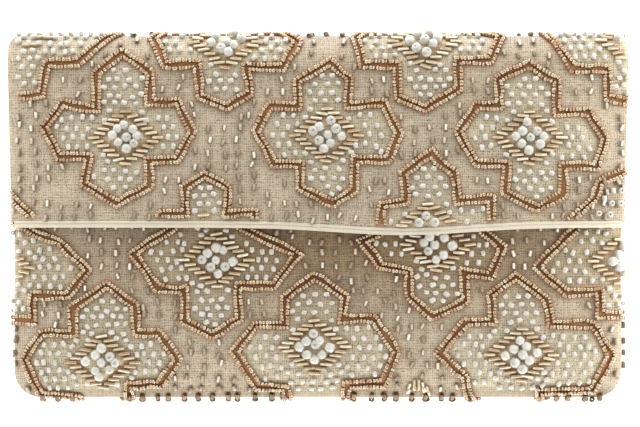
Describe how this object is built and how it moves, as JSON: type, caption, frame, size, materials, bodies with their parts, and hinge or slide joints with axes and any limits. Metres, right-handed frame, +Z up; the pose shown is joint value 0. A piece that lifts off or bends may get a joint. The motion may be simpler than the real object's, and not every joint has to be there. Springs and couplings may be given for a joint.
{
  "type": "beaded clutch bag",
  "caption": "Flat envelope clutch of natural linen with a fold-over flap and a piped edge, worked all over in bead cross motifs, closed by a hidden magnetic snap.",
  "frame": {"origin": "on the surface that the clutch lies on, under the middle of its outline", "axes": "+X along the width, +Y from the bottom fold to the top fold, +Z up out of the beaded front"},
  "size_m": [0.279, 0.163, 0.0254],
  "materials": {
    "linen": "plain-woven flax linen",
    "piping": "satin",
    "snap": "plated",
    "bronze_beads": "silver-lined glass seed beads",
    "white_beads": "pearly opaque glass beads",
    "gold_bugles": "silver-lined satin glass bugle beads",
    "smoky_beads": "silver-lined smoky glass seed beads"
  },
  "bodies": {
    "root": {"front_panel": "linen", "back_panel": "linen", "flap": "linen", "flap_piping": "piping", "magnet_snap": "snap"}
  },
  "joints": []
}
